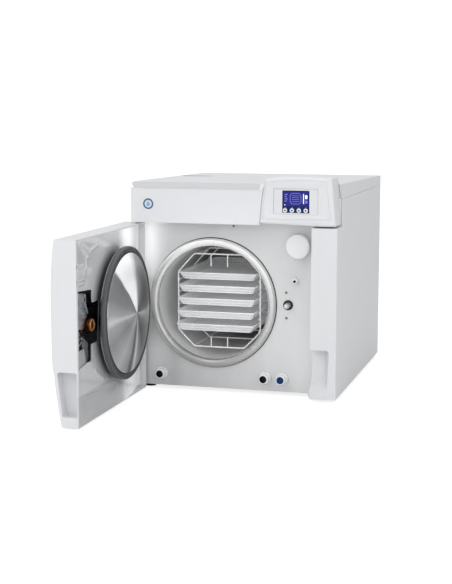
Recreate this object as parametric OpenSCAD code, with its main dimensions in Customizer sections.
// Benchtop steam autoclave with a side-hung door, drawn with the door standing open.
// Millimetres. +X is to the right, +Y to the back and +Z up. Z = 0 is the bench.
// Parts are laid out about the middle of the cabinet front and then moved as one,
// so that the origin is the bottom centre of the whole object's box.

/* [Cabinet] */
// Width over the side panels
body_w = 454; // [450:1:470]
// Depth from the face of the top bezel to the back panel
body_d = 552; // [540:2:600]
// Height of the underside of the cabinet above the bench
foot_h = 8; // [8:1:14]
// Height of the bottom edge of the top bezel
bezel_z = 374; // [372:1:376]
// Depth that the steel front plate is set back behind the bezel
plate_y = 52.5; // [52:0.5:54]

/* [Chamber] */
// Inside radius of the pressure chamber
chamber_r = 125; // [122:0.5:125]
// Inside length of the pressure chamber
chamber_l = 352; // [340:2:370]
// Wall thickness of the pressure chamber
chamber_t = 3; // [2:0.5:3]
// Height of the chamber axis above the bench
chamber_z = 196.6; // [195:0.1:198]

/* [Door] */
// Angle that the door stands open as drawn
door_open = 90; // [90:90:90]
// Thickness of the moulded door shell
door_t = 3; // [2:0.5:3.5]

/* [Trays] */
// Width of a tray
tray_w = 174; // [168:1:176]
// Length of a tray
tray_l = 290; // [240:5:300]
// Height of a tray's rim
tray_h = 16; // [12:1:17]
// Vertical distance from one tray to the next
tray_pitch = 27.8; // [27:0.1:29]

/* [Controls] */
// Radius of a front panel button
button_r = 4.7; // [4:0.1:5]
// Distance between neighbouring buttons
button_pitch = 14.7; // [13:0.1:15]

/* [Hidden] */
origin_shift = [19.4, -107, 0];  // brings the box centre to the origin
fit_gap = 0.3;
right_x = body_w/2;
left_x = -body_w/2;
side_t = 1.6;                    // side panel and cover sheet
panel_top = 428;
cover_z = 428.4;                 // bottom edge of the top cover
trim_z = 447.4;                  // bottom edge of the top trim
mould_back = plate_y-0.3;        // back of the front mouldings
feet_at = [[-209, 78], [206, 78], [-206, body_d-27], [206, body_d-27]];  // x, y
filler_at = [-182, 355];         // x, y
well_r = 40;                     // sunk well round the filler

chamber_x = -56;
chamber_y = 58;                  // open end of the vessel
chamber_at = [chamber_x, chamber_z];
chamber_out = chamber_r+chamber_t;
dome_l = 32;                     // depth of the domed back end
ring_r = 141.7;
heater_in = chamber_out+fit_gap;
heater_out = heater_in+3.9;
jacket_in = heater_out+0.4;

// Places on the front and back, as x, z
lock_x = 112;
lock_z = 198.5;
lock_at = [lock_x, lock_z];
spindle_r = 6;
sensor_at = [128, 251.5];
filter_at = [136, 327];
couplings = [[-173, 36], [62, 37], [100, 37]];
coupling_y = plate_y-22;         // front ends of the couplings
screw_at = [[-9.4, 365.5], [107.6, 225.5], [108.2, 170.2], [-219, 356], [-219, 34]];
fan_x = -120;
fan_z = 250;
fan_at = [fan_x, fan_z];
relief_at = [-20, 330];
drain_x = -170;
drain_at = [drain_x, 50];
switch_x = 183.5;
switch_z = 50.5;
switch_y = body_d-4.5;           // rocker axle

// Holes through the front: place, radius in the bulkhead, radius in the front plate
front_holes = concat([
  [chamber_at, chamber_out+fit_gap, ring_r+fit_gap],
  [lock_at, 9, 10.9],
  [sensor_at, 6, 6.9],
  [filter_at, 22, 24]
], [for (c = couplings) [c, 8.4, 11.9]]);

button_x = 116.6;                // leftmost button
button_z = 406.5;
window = [91.9, 185.6, 398.4, 451.1];  // x from, to, z from, to
lcd = [110.6, 167.4, 401.8, 447.2];
window_gap = 0.4;

pipe_r = 4;
steam_y = 452;
steam_z = 301;
valve_x = 15;                    // middle valve, fed by the steam line
valve_y = 474;
valve_pitch = 34;

hinge_x = -204;
hinge_y = 22;
hinge_at = [hinge_x, hinge_y];
hinge_z = [156.7, 238.7];
knuckle_r = 9;

tray_top = 45.1;                 // floor of the top tray above the chamber axis
tray_y = [88, 81, 75, 69, 64];   // front ends, top tray first
rack_y = [99.2, 328.2];          // end frames
// Rack end frame about the chamber axis: x, z
rack_outline = [[-57, 101], [57, 101], [94, 60], [94, -70],
  [57, -107], [-57, -107], [-94, -70], [-94, 60]];

// Door, as it lies when shut
door_x0 = -226.8;                // hinge side end
door_x1 = 169;                   // free edge
door_z0 = 3;
door_z1 = 370;
liner_y = 19.2;                  // inner face of the liner
door_corner = 12;                // radius of the upright front edges
corner_y = -28;
dome_r = 125;                    // domed back of the pressure disc

// ---------- helpers ----------
module box(x0, x1, y0, y1, z0, z1) { translate([x0, y0, z0]) cube([x1-x0, y1-y0, z1-z0]); }
// cylinders along an axis; at holds the other two coordinates in x, y, z order
module x_cyl(at, r, x0, x1) {
  translate([x0, at[0], at[1]]) rotate([0, 90, 0]) cylinder(r = r, h = x1-x0);
}
module y_cyl(at, r, y0, y1) {
  translate([at[0], y0, at[1]]) rotate([-90, 0, 0]) cylinder(r = r, h = y1-y0);
}
module z_cyl(at, r, z0, z1) { translate([at[0], at[1], z0]) cylinder(r = r, h = z1-z0); }
// flat outlines extruded along an axis: drawn in y and z, x and z, or x and y
module along_x(x0, x1) {
  translate([x0, 0, 0]) rotate([90, 0, 90]) linear_extrude(x1-x0) children();
}
module along_y(y0, y1) {
  translate([0, y1, 0]) rotate([90, 0, 0]) linear_extrude(y1-y0) children();
}
module along_z(z0, z1) { translate([0, 0, z0]) linear_extrude(z1-z0) children(); }
// turns a profile of [radius, y] points about an axis along y
module y_turn(at, profile) {
  translate([at[0], 0, at[1]]) rotate([-90, 0, 0]) rotate_extrude() polygon(profile);
}
// span is [x from, x to, y from, y to]; grow moves every edge outward
module rounded_rect(span, r, grow = 0) {
  x0 = span[0]-grow;
  x1 = span[1]+grow;
  y0 = span[2]-grow;
  y1 = span[3]+grow;
  c = r+grow;
  union() {
    translate([x0+c, y0]) square([x1-x0-2*c, y1-y0]);
    translate([x0, y0+c]) square([x1-x0, y1-y0-2*c]);
    for (x = [x0+c, x1-c], y = [y0+c, y1-c]) translate([x, y]) circle(r = c);
  }
}
// points along an arc, for the rounded corner of an outline
function arc(centre, r, from, to) =
  [for (i = [0:6]) let (a = from+(to-from)*i/6) centre+r*[cos(a), sin(a)]];
module placed() { translate(origin_shift) children(); }
module in_chamber() { placed() translate([chamber_x, 0, chamber_z]) children(); }
// door parts are drawn shut, then swung open about the hinge
module on_door() {
  placed() translate([hinge_x, hinge_y, 0]) rotate([0, 0, -door_open])
    translate([-hinge_x, -hinge_y, 0]) children();
}

// ---------- cabinet ----------
module base_pan() {
  pan_t = 1.5;
  pan_z = foot_h+0.3;
  front = plate_y+2.4;
  back = body_d-3;
  color([0.55, 0.57, 0.6]) placed() difference() {
    union() {
      box(left_x+2, right_x-2, front, back, pan_z, pan_z+pan_t);
      for (y = [front, back-pan_t]) box(left_x+2, right_x-2, y, y+pan_t, pan_z, foot_h+16);
    }
    for (p = feet_at) z_cyl(p, 3.2, foot_h-1, foot_h+3);
    for (i = [-4:4], j = [0:3])
      box(i*22-5, i*22+5, 200+j*28, 204+j*28, foot_h-1, foot_h+3);
  }
}
module feet() {
  color([0.1, 0.1, 0.11]) placed() for (p = feet_at) union() {
    z_cyl(p, 12, 0, 3);
    z_cyl(p, 13.2, 2.5, foot_h+0.1);
    z_cyl(p, 3, foot_h, foot_h+5);
  }
}
module bulkhead() {
  color([0.7, 0.71, 0.73]) placed() difference() {
    box(left_x+3, right_x-3, 61, 63.5, foot_h+18, 425);
    for (h = front_holes) y_cyl(h[0], h[1], 60, 65);
  }
}
module front_plate() {
  y0 = plate_y-1;
  y1 = plate_y+3;
  color([0.78, 0.79, 0.8]) placed() difference() {
    box(left_x, right_x-2, plate_y, plate_y+1.2, foot_h, 427.5);
    for (h = front_holes) y_cyl(h[0], h[2], y0, y1);
    for (p = screw_at) y_cyl(p, 1.7, y0, y1);
    // slots for the hinge arms
    for (z = hinge_z) box(-224.6, -211.5, y0, y1, z-12, z+12);
  }
}
module plate_screws() {
  seat = plate_y-0.05;
  color([0.45, 0.46, 0.48]) placed() for (p = screw_at) union() {
    y_turn(p, [[0, 50.6], [2.2, 50.6], [2.9, 51.2], [2.9, seat], [0, seat]]);
    y_cyl(p, 1.5, plate_y-0.1, plate_y+6);
  }
}
// side sheet with a flange inside its back edge
module side_panel(x, flange_x, front) {
  union() {
    box(x, x+side_t, front, body_d, foot_h+0.2, panel_top);
    box(flange_x, flange_x+10.5, body_d-2.6, body_d-1.4, foot_h+24, 420);
  }
}
module side_panel_left() {
  color([0.8, 0.81, 0.82]) placed() side_panel(left_x, left_x+side_t-0.1, plate_y+1.5);
}
module side_panel_right() {
  color([0.78, 0.8, 0.81]) placed() side_panel(right_x-side_t, right_x-12, plate_y);
}
module rear_panel() {
  y0 = body_d-4;
  y1 = body_d+2;
  edge = side_t+0.4;
  color([0.72, 0.73, 0.75]) placed() difference() {
    box(left_x+edge, right_x-edge, body_d-1.3, body_d-0.1, foot_h+0.3, panel_top);
    // fan grille: slotted rings crossed by spokes
    for (r = [14:11:58]) difference() {
      y_cyl(fan_at, r+3, y0, y1);
      y_cyl(fan_at, r-3, y0-1, y1+1);
      for (a = [0:45:179]) translate([fan_x, 0, fan_z]) rotate([0, a, 0])
        box(-80, 80, y0-2, y1+2, -2.4, 2.4);
    }
    box(137.5, 166.5, y0, y1, 40.5, 62.5);
    box(switch_x-6.7, switch_x+6.7, y0, y1, switch_z-10.7, switch_z+10.7);
    y_cyl(relief_at, 12+fit_gap, y0, y1);
    y_cyl(drain_at, 9+fit_gap, y0, y1);
    // two rows of upright vents
    for (i = [0:7], j = [0:1]) box(60+i*16, 66+i*16, y0, y1, 330+j*40, 362+j*40);
  }
}
module top_cover() {
  front = plate_y+1.5;
  color([0.87, 0.88, 0.89]) placed() difference() {
    union() {
      difference() {
        along_x(left_x, right_x)
          polygon([[front, cover_z], [front, 459.6], [body_d, 451], [body_d, cover_z]]);
        along_x(left_x+side_t, right_x-side_t) polygon([[plate_y-1, 420],
          [plate_y-1, 457.4], [body_d-1.5, 448.9], [body_d-1.5, 420]]);
      }
      z_cyl(filler_at, well_r+2, 436, 453.5);
      box(190, right_x-0.8, 56, 62.2, cover_z, 457.9);
    }
    // sunk filler well and its hole
    z_cyl(filler_at, well_r, 438, 470);
    z_cyl(filler_at, 14.4, 430, 440);
    // finger notch near the left edge
    box(-221, -196, 212, 236, 455.9, 470);
    // room for the display housing
    along_y(plate_y-1, 62.2)
      polygon([[64.4, 420], [71.4, 470], [217.2, 470], [220.6, 440], [223.2, 420]]);
  }
}
// tall block with its front left upright edge rounded
module rounded_left(r) {
  linear_extrude(600) union() {
    translate([left_x+r, 0]) square([400, 80]);
    translate([left_x, r]) square([400, 80]);
    translate([left_x+r, r]) circle(r = r);
  }
}
module top_trim() {
  color([0.78, 0.79, 0.81]) placed() intersection() {
    along_x(left_x, 76) difference() {
      union() {
        polygon([[0, trim_z], [0, 448], [13, 448], [13, 460],
          [plate_y+1.1, 459.6], [plate_y+1.1, trim_z]]);
        intersection() {
          translate([13, trim_z]) circle(r = 12.8);
          translate([0, trim_z]) square([13.1, 13]);
        }
      }
      polygon([[14, 446], [14, 457.5], [plate_y+2, 457.2], [plate_y+2, 446]]);
    }
    rounded_left(12);
    along_y(-5, 60) polygon([[left_x-1, 440], [67.4, 440], [68.3, 447.2],
      [70.4, 462], [left_x-1, 462]]);
  }
}
module filler_cap() {
  color([0.35, 0.36, 0.38]) placed() union() {
    z_cyl(filler_at, 14.32, 429, 438.4);
    z_cyl(filler_at, 22, 438.3, 446);
    translate(filler_at) rotate([0, 0, 30]) box(-20, 20, -2.5, 2.5, 445.9, 450.5);
  }
}
module upper_bezel() {
  color([0.87, 0.875, 0.885]) placed() difference() {
    intersection() {
      along_y(0, mould_back) polygon([[left_x, bezel_z], [61.2, bezel_z], [61.2, 380],
        [64.6, 420], [68.4, 447.1], [left_x, 447.1]]);
      rounded_left(10);
    }
    box(left_x+3, 58, 3, plate_y+1, bezel_z+3, 444.5);
    // seat of the round badge
    y_cyl([-185, 413.7], 11.6, -1, 1);
  }
}

// ---------- display and buttons ----------
// Display housing seen from the front: x, z
pod_outline = [
  [72, 469], [88, 473.4], [107, 475.4], [128, 476], [165, 475.5], [195, 474.6],
  [215.5, 473.6], [220, 440], [224.6, 400], [227, bezel_z], [196, bezel_z-0.5],
  [62, bezel_z+3.4], [61.6, 380], [65, 420]];
module display_pod() {
  color([0.88, 0.885, 0.895]) placed() difference() {
    union() {
      // raised face, drawn in from the left, right and top
      along_y(-3, 8) polygon([for (p = pod_outline)
        [p[0] - (p[0] > 200 ? 2.5 : -1), p[1] - (p[1] > 460 ? 2 : 0)]]);
      along_y(-1.5, 61.5) polygon(pod_outline);
    }
    box(50, right_x+5, plate_y-0.4, 70, 300, 428.3);
    along_y(3, 90) polygon([[70, 380], [74, 466], [212, 470], [221, 380]]);
    along_y(-5, 4) rounded_rect(window, 1.6, window_gap);
    // shallow notch in the bottom edge
    along_y(-5, 1.2) polygon([[176, bezel_z-2], [214, bezel_z-2],
      [214, bezel_z+1.5], [188, bezel_z+1.5]]);
  }
}
module button_holes(r) {
  for (i = [0:3]) y_cyl([button_x+i*button_pitch, button_z], r, -4, 8);
}
module display_window() {
  color([0.86, 0.865, 0.88]) placed() difference() {
    along_y(-1.6, 2.6) rounded_rect(window, 1.6);
    box(lcd[0]-window_gap, lcd[1]+window_gap, -5, 0.6, lcd[2]-window_gap, lcd[3]+window_gap);
    button_holes(2.35);
  }
}
module lcd_screen() {
  color([0.13, 0.13, 0.5]) placed() difference() {
    along_y(-0.9, 0.5) rounded_rect(lcd, 1);
    button_holes(2.6);
  }
}
// button i, counted from 0 at the left
module button(i) {
  color([0.93, 0.95, 0.96]) placed() y_turn([button_x+i*button_pitch, button_z],
    [[0, -3.4], [1.4, -3.4], [1.8, -4.2], [3.9, -4.2], [button_r, -3.5],
      [button_r, -2.6], [2.3, -2.6], [2.3, 7], [0, 7]]);
}
module button_1() { button(0); }
module button_2() { button(1); }
module button_3() { button(2); }
module button_4() { button(3); }
module pillar() {
  color([0.88, 0.885, 0.9]) placed() difference() {
    union() {
      along_y(0, mould_back)
        polygon([[173, 370.2], [right_x, 370.2], [right_x, foot_h], [170.4, foot_h]]);
      along_y(21, mould_back) polygon([[172, 60], [180, 60], [180, foot_h],
        [163.5, foot_h], [163.5, 22], [168, 34]]);
    }
    // hollow behind the front skin, clear of the scoop
    difference() {
      box(176, right_x-3, 3, 80, foot_h+3, 367);
      box(150, 217.5, -1, 30, 10, 119);
    }
    // finger scoop for pulling the door, with a sloping floor
    difference() {
      intersection() {
        along_y(-1, 26) polygon(concat([[150, 24], [207.5, 24]],
          arc([204.5, 105.5], 7.5, 0, 90), [[150, 113]]));
        along_z(20, 120)
          polygon([[140, -1.5], [213.5, -1.5], [212.5, 1], [198, 26.5], [140, 26.5]]);
      }
      along_x(150, 215) polygon([[-2, 20], [-2, 26], [27, 46], [27, 20]]);
    }
  }
}

// ---------- pressure chamber ----------
// point of the domed back end at angle a, for radius r and depth l
function dome_point(r, l, a) = [r*pow(cos(a), 0.7), chamber_y+chamber_l+l*sin(a)];
module chamber_vessel() {
  color([0.75, 0.76, 0.77]) placed() y_turn(chamber_at, concat(
    [[chamber_r, chamber_y], [chamber_out, chamber_y]],
    [for (a = [0:7.5:90]) dome_point(chamber_out, dome_l, a)],
    [for (a = [90:-7.5:0]) dome_point(chamber_r, dome_l-chamber_t, a)]));
}
// ring round the chamber mouth, rounded to the front
module chamber_ring() {
  back = chamber_y-0.2;
  color([0.86, 0.87, 0.88]) placed() y_turn(chamber_at, concat(
    [[chamber_r, back], [chamber_r, 46]],
    [for (a = [15:15:90]) [chamber_r+5-5*cos(a), 46-4.9*sin(a)]],
    [for (a = [0:15:90]) [ring_r-6+6*sin(a), 46-4.9*cos(a)]],
    [[ring_r, back]]));
}
module insulation_jacket() {
  back = chamber_y+chamber_l-12;
  color([0.85, 0.83, 0.75]) placed()
    y_turn(chamber_at, [[jacket_in, 66], [147, 66], [147, back], [jacket_in, back]]);
}
module band_heater() {
  color([0.55, 0.5, 0.42]) placed() for (y = [110, 250]) y_turn(chamber_at,
    [[heater_in, y], [heater_out, y], [heater_out, y+90], [heater_in, y+90]]);
}

// ---------- things inside the cabinet ----------
module vacuum_pump() {
  color([0.25, 0.3, 0.36]) placed() union() {
    along_y(150, 250) rounded_rect([118, 206, 24, 96], 8);
    for (x = [140, 184]) z_cyl([x, 200], 20, 95, 132);
    y_cyl([162, 60], 26, 249, 292);
    box(124, 200, 160, 240, 11, 25);
  }
}
// finned block with tubes joined by upright bends
module condenser() {
  tube_y = 477;
  color([0.7, 0.5, 0.35]) placed() union() {
    for (i = [0:13]) box(-178+i*8.6, -176.6+i*8.6, 462, 492, 188, 312);
    for (z = [200:25:300]) x_cyl([tube_y, z], pipe_r, -186, -55);
    for (z = [200, 250], x = [-188, -53]) z_cyl([x, tube_y], pipe_r, z, z+25);
  }
}
module condenser_fan() {
  color([0.15, 0.15, 0.16]) placed()
  translate([fan_x, 520, fan_z]) rotate([-90, 0, 0]) union() {
    difference() {
      cylinder(r = 18, h = 20, center = true);
      cylinder(r = 3.05, h = 30, center = true);
    }
    // seven pitched blades
    for (a = [0:51.42857:359])
      rotate([0, 0, a]) translate([17, 0, 0]) rotate([35, 0, 0])
        translate([0, -9, -0.9]) cube([37, 18, 1.8]);
  }
}
module fan_shroud() {
  half = 60;
  color([0.18, 0.18, 0.19]) placed() union() {
    difference() {
      along_y(506, 540) rounded_rect([fan_x-half, fan_x+half, fan_z-half, fan_z+half], 6);
      y_cyl(fan_at, 56.5, 500, 545);
    }
    for (a = [45, 135]) translate([fan_x, 0, fan_z]) rotate([0, a, 0])
      box(-58, 58, 535, 540, -3, 3);
    y_cyl(fan_at, 14, 534, 540);
    y_cyl(fan_at, 3, 508, 535);
  }
}
// closed box with walls 2.5 thick
module tank(x0, x1, y0, y1, z0, z1) {
  t = 2.5;
  difference() {
    box(x0, x1, y0, y1, z0, z1);
    box(x0+t, x1-t, y0+t, y1-t, z0+t, z1-t);
  }
}
module clean_water_tank() {
  color([0.8, 0.85, 0.88]) placed() difference() {
    tank(-216, 60, 150, 440, 352, 426);
    z_cyl(filler_at, 15, 420, 430);
  }
}
module waste_water_tank() {
  color([0.75, 0.78, 0.8]) placed() tank(112, 216, 320, 540, 90, 216);
}
// upright board with blocks on its left face
module control_board() {
  face = 214.1;
  color([0.08, 0.35, 0.2]) placed() union() {
    box(214, 216, 120, 320, 210, 400);
    box(200, face, 150, 180, 230, 260);
    box(204, face, 200, 250, 300, 350);
    for (i = [0:5]) box(204, face, 130+i*26, 148+i*26, 375, 388);
  }
}
module power_supply() {
  color([0.75, 0.76, 0.78]) placed() difference() {
    box(110, 208, 400, 530, 230, 300);
    for (i = [0:8]) box(120+i*9, 124+i*9, 399, 402, 240, 290);
  }
}
module solenoid_valves() {
  y = valve_y;
  z = steam_z;
  color([0.72, 0.6, 0.3]) placed() for (i = [-1:1]) let (x = valve_x+i*valve_pitch) union() {
    box(x-11, x+11, y-12, y+12, z-11, z+11);
    z_cyl([x, y], 9, 311, 344);
    along_y(y-10, y+10) rounded_rect([x-12, x+12, 318, 338], 2);
    y_cyl([x, z], 5, y+12, y+22);
  }
}
module pipe_joints(points) { for (p = points) translate(p) sphere(r = 6); }
module pipework() {
  drain_y = 500;
  low_z = 28;
  color([0.75, 0.45, 0.3]) placed() {
    // steam line from the chamber to the middle valve, with a union at each corner
    union() {
      y_cyl(chamber_at, pipe_r, 442.8, steam_y);
      z_cyl([chamber_x, steam_y], pipe_r, chamber_z, steam_z);
      x_cyl([steam_y, steam_z], pipe_r, chamber_x, valve_x);
      y_cyl([valve_x, steam_z], pipe_r, steam_y, 461.7);
      pipe_joints([[chamber_x, steam_y, chamber_z], [chamber_x, steam_y, steam_z],
        [valve_x, steam_y, steam_z]]);
    }
    // drain line and its hose barb through the back panel
    union() {
      y_cyl([drain_x, low_z], pipe_r, 420, drain_y);
      z_cyl([drain_x, drain_y], pipe_r, low_z, drain_at[1]);
      y_cyl(drain_at, pipe_r, drain_y, 531);
      pipe_joints([[drain_x, drain_y, low_z], [drain_x, drain_y, drain_at[1]]]);
      y_cyl(drain_at, 9, 530, body_d+1);
      y_cyl(drain_at, 5, body_d-2, body_d+15);
    }
  }
}
module safety_valve() {
  color([0.8, 0.65, 0.35]) placed() union() {
    y_cyl(relief_at, 8, 500, 540);
    y_turn(relief_at, [[0, 539], [12, 539], [12, 556], [10, 558], [0, 558]]);
    y_cyl(relief_at, 3, 557, 564);
    y_turn(relief_at, [[2.9, 561], [9, 561], [9, 564], [2.9, 564]]);
  }
}
module power_inlet() {
  color([0.1, 0.1, 0.11]) placed() union() {
    difference() {
      union() {
        box(138, 166, body_d-24, body_d+1, 41, 62);
        box(132, 172, body_d+0.1, body_d+2, 36, 67);
      }
      box(140.5, 163.5, body_d-18, body_d+5, 43.5, 59.5);
    }
    // housing of the rocker switch, behind the panel
    difference() {
      box(165.5, 193.5, body_d-20, body_d-1.6, 36, 65);
      box(switch_x-6.6, switch_x+6.6, body_d-14, body_d+5, switch_z-10.7, switch_z+10.7);
      x_cyl([switch_y, switch_z], 1.55, 174, 196);
    }
  }
}
module power_switch() {
  color([0.12, 0.12, 0.13]) placed() union() {
    translate([switch_x, switch_y, switch_z]) rotate([0, -90, 0])
      linear_extrude(12, center = true) polygon([[-9.2, 4.6], [-9.2, 6.4], [0, 5.2],
        [9.2, 7.8], [9.2, 4.6], [5, -4], [-5, -4]]);
    x_cyl([switch_y, switch_z], 1.5, switch_x-8.3, switch_x+8.3);
  }
}

// ---------- front fittings ----------
module lock_actuator() {
  color([0.3, 0.31, 0.33]) placed() difference() {
    union() {
      along_y(68, 150) rounded_rect([101, 150, lock_z-22, lock_z+22], 3);
      along_y(66, 69) rounded_rect([98.5, 156, lock_z-30, lock_z+30], 3);
      // guide bush with its collar in front of the plate
      y_turn(lock_at, [[0, 49.4], [9, 49.4], [10.7, 51], [10.7, 57.5],
        [8.7, 57.5], [8.7, 67], [0, 67]]);
    }
    y_cyl(lock_at, spindle_r+0.06, 40, 125);
  }
}
module lock_spindle() {
  r = spindle_r;
  color([0.82, 0.83, 0.84]) placed() y_turn(lock_at,
    [[0, 30], [3.2, 30], [4.6, 31.2], [4.6, 37], [r, 38.4], [r, 44],
      [5.2, 45], [5.2, 48], [r, 49], [r, 122], [0, 122]]);
}
module door_sensor() {
  color([0.9, 0.9, 0.91]) placed() difference() {
    union() {
      y_cyl(sensor_at, 6.7, 42, 57.5);
      y_cyl(sensor_at, 5.6, 57, 92);
    }
    y_cyl(sensor_at, 2.56, 40, 84);
  }
}
module sensor_plunger() {
  color([0.1, 0.1, 0.11]) placed()
    y_turn(sensor_at, [[0, 36], [1.7, 36], [2.5, 37], [2.5, 78], [0, 78]]);
}
module bacteria_filter() {
  color([0.92, 0.925, 0.93]) placed() y_turn(filter_at,
    [[0, 30.4], [23.4, 30.4], [26.2, 33.4], [26.4, 51.6], [19, 51.6], [19, 80], [0, 80]]);
}
module filter_holder() {
  color([0.35, 0.36, 0.38]) placed() y_turn(filter_at,
    [[19.08, 52.2], [23.6, 52.2], [23.6, 56.5], [26, 56.5], [26, 60.4], [21.6, 60.4],
      [21.6, 64.2], [25, 64.2], [25, 88], [0, 88], [0, 82], [19.08, 82]]);
}
module quick_couplings() {
  color([0.9, 0.9, 0.9]) placed() for (c = couplings) y_turn(c,
    [[7.5, coupling_y], [10, coupling_y], [11.5, coupling_y+2], [11.5, 40.5], [10.4, 40.5],
      [10.4, 42], [11.5, 42], [11.5, 44.5], [14, 44.5], [14, 52.2], [11.6, 52.2],
      [11.6, 60.4], [8, 60.4], [8, 78], [5, 78], [5, 66], [6.06, 66], [6.06, 44], [7.5, 44]]);
}
module poppet(i, tint) {
  color(tint) placed() y_turn(couplings[i],
    [[0, 44.4], [2, 44.4], [2.6, 45.2], [6, 45.2], [6, 58], [0, 58]]);
}
module coupling_poppet_1() { poppet(0, [0.07, 0.07, 0.08]); }
module coupling_poppet_2() { poppet(1, [0.07, 0.07, 0.08]); }
module coupling_poppet_3() { poppet(2, [0.1, 0.3, 0.65]); }

// ---------- door hinge ----------
module hinge_arm() {
  polygon([[hinge_x-knuckle_r, hinge_y], [hinge_x-knuckle_r, hinge_y+8], [-224, 48],
    [-224, 60.5], [-213, 60.5], [-213, 44], [hinge_x+2, hinge_y+8], [hinge_x, hinge_y]]);
}
// a pair of arms, a pin and a back pad at each hinge
module hinge_bracket() {
  arm_t = 5.8;
  color([0.6, 0.61, 0.63]) placed() for (z = hinge_z) union() {
    for (z0 = [z-11, z+11-arm_t]) {
      z_cyl(hinge_at, knuckle_r, z0, z0+arm_t);
      along_z(z0, z0+arm_t) hinge_arm();
    }
    z_cyl(hinge_at, 5, z-12, z+12);
    box(-224, -213, 57.9, 60.6, z-11, z+11);
  }
}

// ---------- rack and trays ----------
// floor of tray k above the chamber axis, counted from 0 at the top
function tray_z(k) = tray_top - k*tray_pitch;
module rack() {
  color([0.85, 0.86, 0.87]) in_chamber() union() {
    for (y = rack_y) {
      along_y(y, y+3.6) difference() {
        polygon(rack_outline*1.018);
        polygon(rack_outline*0.982);
      }
      for (x = [-92.6, 92.6]) box(x-1.2, x+1.2, y+0.4, y+3.2, -69, 59);
    }
    // rods at the corners and under the tray rims
    for (p = rack_outline) y_cyl(p, 1.7, 100, 331);
    for (side = [-1, 1], k = [0:4])
      y_cyl([side*(tray_w/2+3.6), tray_z(k)+tray_h-2.8], 1.4, 99.8, 330);
  }
}
module tray(k) {
  x = tray_w/2;
  y = tray_y[k];
  z = tray_z(k);
  rim = z+tray_h;
  color([0.88, 0.89, 0.9]) in_chamber() difference() {
    union() {
      box(-x, x, y, y+tray_l, z-0.2, rim);
      box(-x-3, x+3, y+2, y+tray_l-2, rim-1.2, rim);
    }
    box(-x+1.1, x-1.1, y+1.1, y+tray_l-1.1, z+0.9, rim+1);
    // slot in the front wall
    along_y(y-1, y+3) rounded_rect([-28, 28, z+5, z+12], 3.4);
  }
}
module tray_1() { tray(0); }
module tray_2() { tray(1); }
module tray_3() { tray(2); }
module tray_4() { tray(3); }
module tray_5() { tray(4); }

// ---------- door, drawn shut ----------
// how far the bowed front stands before the liner at height z
function bulge(z) = 59 - pow(z-208, 2)/2210;
// door section in y and z, set in by t; the front steps back 3 below z = 113
module door_profile(t) {
  back = t > 0 ? liner_y+8 : liner_y-1.6;
  polygon(concat([[back, door_z0+t], [back, door_z1-t]],
    [for (i = [0:28]) let (z = door_z1-t - i*(door_z1-door_z0-2*t)/28)
      [liner_y-bulge(z)+t+(z < 113 ? 3 : 0), z]]));
}
module door_solid(t) {
  intersection() {
    along_x(door_x0+t, door_x1-t) door_profile(t);
    linear_extrude(600) union() {
      translate([door_x0+t, corner_y]) square([door_x1-door_x0-2*t, 70]);
      translate([door_x0+door_corner, -60]) square([door_x1-door_x0-2*door_corner, 80]);
      for (x = [door_x0+door_corner, door_x1-door_corner])
        translate([x, corner_y]) circle(r = door_corner-t);
    }
  }
}
// Rounded corners of the hand recess: centre y, centre z, start angle, end angle
recess_corners = [
  [-20.6, 108, 90, 180], [-11.8, 28.6, 190, 270], [11.1, 28.6, 270, 360], [11.1, 108, 0, 90]];
module door_shell() {
  color([0.9, 0.905, 0.915]) on_door() difference() {
    door_solid(0);
    difference() {
      door_solid(door_t);
      box(door_x1-27, door_x1+5, -60, 40, 21, 116);
    }
    // hand recess in the free edge
    along_x(door_x1-24, door_x1+5)
      polygon([for (c = recess_corners, p = arc([c[0], c[1]], 4.6, c[2], c[3])) p]);
    // room for the hinge arms
    for (z = hinge_z) box(door_x0-1, door_x0+5, -26, 30, z-14, z+14);
  }
}
// Opening in the liner for the latch: x, z
latch_outline = [[172, 271], [94.5, 266], [93.5, 239], [56.5, 241], [65.5, 158],
  [99.5, 158], [100.5, 124], [123.5, 125], [172, 118]];
module door_liner() {
  back = liner_y-1.4;
  right = door_x1-1.5;
  color([0.86, 0.865, 0.875]) on_door() difference() {
    union() {
      along_y(back, liner_y) polygon([[-150, door_z0+2], [right, door_z0+2],
        [right, door_z1-2], [-150, door_z1-2]]);
      // slopes forward to the hinge side
      along_z(door_z0+3.4, door_z1-3.4) polygon([[-150.1, back], [-149.9, liner_y],
        [-208, 4], [-223.4, 4], [-223.4, 2.4], [-208.4, 2.4]]);
    }
    along_y(liner_y-3, liner_y+1) polygon(latch_outline);
    along_y(liner_y-4, liner_y+1) translate(chamber_at) circle(r = 44);
    for (z = hinge_z) box(door_x0-2, hinge_x+28, -22, 30, z-14, z+14);
  }
}
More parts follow.
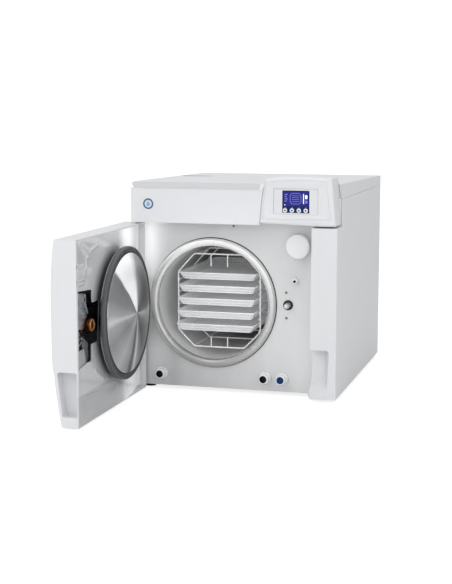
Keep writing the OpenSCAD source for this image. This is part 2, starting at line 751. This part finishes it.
// cross bar from the hinge arms to the seat of the nut, with the sensor keeper
module door_crossbar() {
  color([0.2, 0.2, 0.21]) on_door() difference() {
    union() {
      box(-170, 134, -18, -2, 172, 224);
      box(-176, -160, -16, -4, 145, 250);
      for (z = hinge_z) {
        z_cyl(hinge_at, knuckle_r, z-5, z+5);
        along_z(z-5, z+5) polygon([[hinge_x-3, hinge_y-8.4], [hinge_x-2, -16],
          [-169, -16], [-169, -4], [hinge_x+8, hinge_y-4]]);
      }
      along_y(-2.1, 4) rounded_rect([lock_x-18, lock_x+18, lock_z-19, lock_z+19], 5);
      box(128, 140, -10, -4, 206, 262);
      box(122.5, 138.5, -6, 15.6, 240, 262);
    }
    for (z = hinge_z) z_cyl(hinge_at, 5.06, z-20, z+20);
    y_cyl(lock_at, 13.4, -30, 30);
    y_cyl([130.5, 251], 3.6, -20, 20);
  }
}
module lock_nut() {
  color([0.72, 0.42, 0.2]) on_door() y_turn(lock_at,
    [[7.6, -14], [13.3, -14], [13.3, 25.6], [12, 27.6], [8.6, 27.6], [7.6, 26.6]]);
}
// dished pressure disc with its rim
module door_disc() {
  color([0.82, 0.83, 0.84]) on_door() y_turn(chamber_at, concat(
    [[0, -1.7], [30, -1.7], [30, 20], [120, 25.5], [137, 28.5],
      [137, 37.4], [126, 37.4], [126, 41.5]],
    [for (i = [0:10]) [dome_r*(1-i/10), 42+17*(1-pow(1-i/10, 2))]]));
}
module door_gasket() {
  color([0.45, 0.46, 0.47]) on_door() y_turn(chamber_at,
    [[126.2, 37.6], [136.8, 37.6], [136.8, 39.6], [135.2, 41], [127.6, 41], [126.2, 39.6]]);
}

base_pan();
feet();
bulkhead();
front_plate();
plate_screws();
side_panel_left();
side_panel_right();
rear_panel();
top_cover();
top_trim();
filler_cap();
upper_bezel();
display_pod();
display_window();
lcd_screen();
button_1();
button_2();
button_3();
button_4();
pillar();
chamber_vessel();
chamber_ring();
insulation_jacket();
band_heater();
vacuum_pump();
condenser();
condenser_fan();
fan_shroud();
clean_water_tank();
waste_water_tank();
control_board();
power_supply();
solenoid_valves();
pipework();
safety_valve();
power_inlet();
power_switch();
lock_actuator();
lock_spindle();
door_sensor();
sensor_plunger();
bacteria_filter();
filter_holder();
quick_couplings();
coupling_poppet_1();
coupling_poppet_2();
coupling_poppet_3();
hinge_bracket();
rack();
tray_1();
tray_2();
tray_3();
tray_4();
tray_5();
door_shell();
door_liner();
door_crossbar();
lock_nut();
door_disc();
door_gasket();
